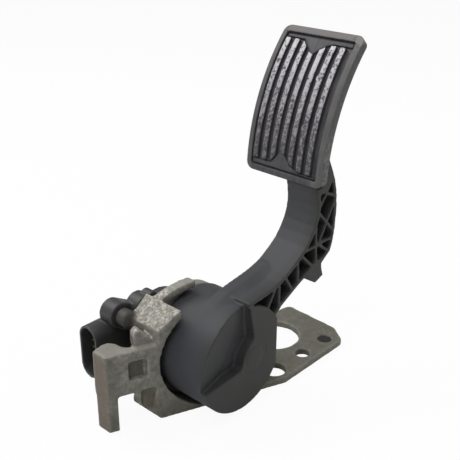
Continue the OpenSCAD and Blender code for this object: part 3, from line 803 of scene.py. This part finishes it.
class PEDAL_OT_tread_pad(bpy.types.Operator):
    """Models the curved pad flat, with its rim, ribs and plateaus, and bends it to its curve"""

    bl_idname = "pedal.tread_pad"
    bl_label = "Tread Pad"

    def execute(self, context):
        sizes = context.scene.pedal_sizes
        length = TREAD_RADIUS * (PAD_LOW_ANGLE - PAD_TOP_ANGLE)
        tray = self.tray(sizes, PAD_LOW.x, PAD_HIGH.x, length)
        raised = self.ribs(sizes, (PAD_LOW.x + PAD_HIGH.x) / 2 - sizes.rib_shift)
        left = PAD_LOW.x + sizes.left_rim + sizes.plateau_gap
        right = PAD_HIGH.x - sizes.right_rim - sizes.plateau_gap
        first = sizes.top_rim + sizes.plateau_gap + 0.4 * MM
        last = length - sizes.low_rim - sizes.plateau_gap
        raised.append(self.plateau("top_plateau", left, right, first, RIBS_BEGIN, -sizes.rib_gap))
        raised.append(self.plateau("low_plateau", left, right, last, RIBS_END, sizes.rib_gap))
        select_only(tray)
        for piece in raised:
            piece.select_set(True)
        bpy.ops.object.join()
        wrap_on_tread(tray)
        select_only(tray)
        bpy.ops.object.shade_smooth_by_angle(angle=math.radians(35))
        paint_piece(tray, worn_paint(context.scene.pedal_colours), "pedal")
        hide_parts("pedal_pad")
        return {"FINISHED"}

    def tray(self, sizes, left, right, length):
        """The flat tray: rounded corners, a sunken tread in front and a hollow behind."""
        tray = flat_block("tread_pad", (left, 0, -sizes.pad_depth), (right, length, 0))
        upright = lambda e: abs(e.verts[0].co.z - e.verts[1].co.z) > sizes.pad_depth / 2
        select_where(tray, "EDGE", upright)
        bpy.ops.mesh.bevel(offset=sizes.corner, segments=6, affect="EDGES")
        select_where(tray, "FACE", lambda f: f.normal.z > STRAIGHT)
        bpy.ops.mesh.inset(thickness=sizes.left_rim, depth=0)
        self.shift(tray, lambda co: co.x > (left + right) / 2, (sizes.left_rim - sizes.right_rim, 0, 0))
        self.shift(tray, lambda co: co.y < length / 2, (0, sizes.top_rim - sizes.left_rim, 0))
        self.shift(tray, lambda co: co.y > length / 2, (0, sizes.left_rim - sizes.low_rim, 0))
        select_where(tray, "FACE", lambda f: f.normal.z > STRAIGHT and f.calc_area() > length * length / 4)
        bpy.ops.mesh.extrude_region_move(TRANSFORM_OT_translate={"value": (0, 0, -sizes.tread_depth)})
        hollow = sizes.pad_depth - sizes.floor - sizes.tread_depth
        select_where(tray, "FACE", lambda f: f.normal.z < -STRAIGHT)
        bpy.ops.mesh.inset(thickness=sizes.side_wall, depth=0)
        bpy.ops.mesh.extrude_region_move(TRANSFORM_OT_translate={"value": (0, 0, hollow)})
        bpy.ops.object.mode_set(mode="OBJECT")
        bevel(tray, width=0.6 * MM, segments=3, degrees=50)
        bpy.ops.object.mode_set(mode="EDIT")
        slice_along(0, length, TRAY_STEPS)
        bpy.ops.object.mode_set(mode="OBJECT")
        return tray

    def shift(self, tray, side, move):
        """Moves one side of the inner outline, the only corners that bound the big front face."""
        tread = lambda f: f.normal.z > STRAIGHT and f.calc_area() > TREAD_AREA
        inner = {v for f in bmesh.from_edit_mesh(tray.data).faces if tread(f) for v in f.verts}
        places = {v.index for v in inner if side(v.co)}
        select_where(tray, "VERT", lambda v: v.index in places)
        bpy.ops.transform.translate(value=move)

    def raised(self, name, low, high, start, end, cuts, edge):
        """A raised strip across part of the tread, between two lines that run across the pad."""
        strip = flat_block(name, (low[0], 0, low[1]), (high[0], 1 * MM, high[1]))
        for x in cuts:
            cut((x, 0, 0), (1, 0, 0))
        for vertex in bmesh.from_edit_mesh(strip.data).verts:
            vertex.co.y = end(vertex.co.x) if vertex.co.y > 0.5 * MM else start(vertex.co.x)
        bpy.ops.object.mode_set(mode="OBJECT")
        bevel(strip, width=edge, segments=2, degrees=30)
        bpy.ops.object.mode_set(mode="EDIT")
        slice_along(0, STRIP_REACH, STRIP_STEPS)
        bpy.ops.object.mode_set(mode="OBJECT")
        return strip

    def ribs(self, sizes, middle):
        """The seven ribs, cut off at the lines of the plateaus."""
        half = sizes.rib_width / 2
        bottom = -sizes.tread_depth - 0.4 * MM
        start = lambda x: along_line(RIBS_BEGIN, x)
        end = lambda x: along_line(RIBS_END, x)
        ribs = []
        for i in range(sizes.rib_count):
            x = middle + (i - (sizes.rib_count - 1) / 2) * sizes.rib_pitch
            low, high = (x - half, bottom), (x + half, -0.1 * MM)
            ribs.append(self.raised(f"rib_{i}", low, high, start, end, (), 0.45 * MM))
        return ribs

    def plateau(self, name, left, right, edge_y, line, gap):
        """The smooth raised end of the tread, between its rim and the ribs."""
        inner = lambda x: along_line(line, x) + gap
        outer = lambda x: edge_y
        start, end = (outer, inner) if gap < 0 else (inner, outer)
        low, high = (left, -3 * MM), (right, -1 * MM)
        cuts = [x * MM for x, _ in line[1:-1]]
        return self.raised(name, low, high, start, end, cuts, 0.4 * MM)


class PEDAL_OT_sensor(bpy.types.Operator):
    """Makes the sensor's black shell, with soft moulded edges"""

    bl_idname = "pedal.sensor"
    bl_label = "Sensor Shell"

    def execute(self, context):
        shade = context.scene.pedal_colours.shell
        black = moulded_nylon("black_moulding", shade, sheen=0.42, scuffs=0.6)
        for node, name in (("sensor_housing", "sensor_shell"), ("sensor_cover", "sensor_lid")):
            shell = copy_of_node(node, name)
            soften(shell, context.scene.pedal_sizes.shell_grain, passes=2)
            paint_piece(shell, black, "base")
            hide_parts(node)
        return {"FINISHED"}


class PEDAL_OT_hub_parts(bpy.types.Operator):
    """Gives the shaft, bushes, springs, screws and sensor parts their finishes"""

    bl_idname = "pedal.hub_parts"
    bl_label = "Hub and Sensor Parts"

    def execute(self, context):
        screw_steel = turned_metal("screw_steel", shade=(0.5, 0.5, 0.51), rough=0.32)
        spring_steel = turned_metal("spring_steel", shade=(0.22, 0.225, 0.24), rough=0.3)
        bronze = turned_metal("bush_bronze", shade=(0.42, 0.3, 0.16), rough=0.42)
        pale = plain_moulding("pale_nylon", shade=(0.62, 0.6, 0.52), rough=0.42)
        rubber = plain_moulding("seal_rubber", shade=(0.018, 0.018, 0.019), rough=0.62)
        finishes = {
            "hole_plug": rubber,
            "pad_screws": screw_steel,
            "pivot_shaft": turned_metal("shaft_steel", shade=(0.56, 0.56, 0.58), rough=0.22),
            "inner_bush": bronze,
            "outer_bush": bronze,
            "thrust_washer": pale,
            "retaining_clip": spring_steel,
            "outer_return_spring": spring_steel,
            "inner_return_spring": spring_steel,
            "spring_carrier": pale,
            "friction_ring": plain_moulding("friction_lining", shade=(0.13, 0.085, 0.045), rough=0.6),
            "sensor_seal": rubber,
            "sensor_rotor": pale,
            "rotor_magnets": turned_metal("magnet_iron", shade=(0.09, 0.09, 0.1), rough=0.5),
            "sensor_circuit_board": plain_moulding("board_green", shade=(0.015, 0.11, 0.045), rough=0.3),
            "angle_chips": plain_moulding("chip_black", shade=(0.015, 0.015, 0.016), rough=0.4),
            # The pins' brass is darkened for tarnish, and as painted shade inside the connector's mouth
            "connector_pins": turned_metal("pin_brass", shade=(0.12, 0.09, 0.045), rough=0.5),
            "sensor_screws": screw_steel,
        }
        for node, material in finishes.items():
            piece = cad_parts[node]
            piece.data.materials.clear()
            piece.data.materials.append(material)
        return {"FINISHED"}


class PEDAL_OT_stage(bpy.types.Operator):
    """Sets the pale floor, the soft lamps and the camera"""

    bl_idname = "pedal.stage"
    bl_label = "Stage"

    def execute(self, context):
        self.floor()
        self.lamps()
        self.camera()
        context.scene.view_settings.view_transform = "Standard"
        return {"FINISHED"}

    def floor(self):
        bpy.ops.object.select_all(action="DESELECT")
        bpy.ops.mesh.primitive_plane_add(size=FLOOR_WIDTH, location=(0, 0, 0))
        floor = bpy.context.object
        floor.name = "floor"
        material = bpy.data.materials.new("pale_floor")
        material.use_nodes = True
        tree = material.node_tree
        tree.nodes.clear()
        output = tree.nodes.new("ShaderNodeOutputMaterial")
        paper = tree.nodes.new("ShaderNodeBsdfDiffuse")
        paper.inputs["Color"].default_value = (FLOOR_SHADE, FLOOR_SHADE, FLOOR_SHADE, 1)
        white = tree.nodes.new("ShaderNodeEmission")
        mix = tree.nodes.new("ShaderNodeMixShader")
        path = tree.nodes.new("ShaderNodeLightPath")
        share = tree.nodes.new("ShaderNodeMath")
        share.operation = "MULTIPLY"
        share.inputs[1].default_value = FLOOR_WHITE
        tree.links.new(path.outputs["Is Camera Ray"], share.inputs[0])
        tree.links.new(share.outputs[0], mix.inputs[0])
        tree.links.new(paper.outputs[0], mix.inputs[1])
        tree.links.new(white.outputs[0], mix.inputs[2])
        tree.links.new(mix.outputs[0], output.inputs["Surface"])
        floor.data.materials.append(material)
        world = bpy.data.worlds.new("pale_room")
        bpy.context.scene.world = world
        world.use_nodes = True
        sky = world.node_tree
        background = sky.nodes["Background"]
        background.inputs["Color"].default_value = (1, 1, 1, 1)
        path = sky.nodes.new("ShaderNodeLightPath")
        level = sky.nodes.new("ShaderNodeMapRange")
        level.inputs["To Min"].default_value = ROOM_LIGHT
        level.inputs["To Max"].default_value = ROOM_WHITE
        sky.links.new(path.outputs["Is Camera Ray"], level.inputs["Value"])
        sky.links.new(level.outputs[0], background.inputs["Strength"])

    def lamps(self):
        for name, (place, size, power) in LAMPS.items():
            lamp = bpy.data.lights.new(name, "AREA")
            lamp.shape = "DISK"
            lamp.size = size
            lamp.energy = power
            stand = bpy.data.objects.new(name, lamp)
            bpy.context.scene.collection.objects.link(stand)
            stand.location = place
            aim = LAMP_TARGET - Vector(place)
            stand.rotation_euler = aim.to_track_quat("-Z", "Y").to_euler()

    def camera(self):
        camera = bpy.data.objects.new("portrait_camera", bpy.data.cameras.new("portrait_camera"))
        bpy.context.scene.collection.objects.link(camera)
        aim = CAMERA_TARGET - CAMERA_PLACE
        turn = aim.to_track_quat("-Z", "Y").to_matrix().to_4x4() @ Matrix.Rotation(CAMERA_ROLL, 4, "Z")
        camera.matrix_world = Matrix.Translation(CAMERA_PLACE) @ turn
        camera.data.sensor_width = 36
        camera.data.lens = CAMERA_LENS
        camera.data.clip_start = 0.01
        bpy.context.scene.camera = camera


OPERATORS = (
    PEDAL_OT_stage,
    PEDAL_OT_casting,
    PEDAL_OT_arm,
    PEDAL_OT_tread_pad,
    PEDAL_OT_sensor,
    PEDAL_OT_hub_parts,
)


class PEDAL_PT_panel(bpy.types.Panel):
    """Lists the pedal's pieces in the sidebar"""

    bl_idname = "PEDAL_PT_panel"
    bl_label = "Accelerator Pedal"
    bl_space_type = "VIEW_3D"
    bl_region_type = "UI"
    bl_category = "Pedal"

    def draw(self, context):
        for group in (context.scene.pedal_sizes, context.scene.pedal_colours):
            box = self.layout.box()
            for name in group.__annotations__:
                box.prop(group, name)
        for operator in OPERATORS:
            self.layout.operator(operator.bl_idname)


CLASSES = (PedalSizes, PedalColours, *OPERATORS, PEDAL_PT_panel)


def register():
    for cls in CLASSES:
        bpy.utils.register_class(cls)
    bpy.types.Scene.pedal_sizes = bpy.props.PointerProperty(type=PedalSizes)
    bpy.types.Scene.pedal_colours = bpy.props.PointerProperty(type=PedalColours)


def unregister():
    del bpy.types.Scene.pedal_colours
    del bpy.types.Scene.pedal_sizes
    for cls in reversed(CLASSES):
        bpy.utils.unregister_class(cls)


def main():
    register()
    bpy.ops.pedal.stage()
    bpy.ops.pedal.casting()
    bpy.ops.pedal.arm()
    bpy.ops.pedal.tread_pad()
    bpy.ops.pedal.sensor()
    bpy.ops.pedal.hub_parts()


if __name__ == "__main__":
    main()
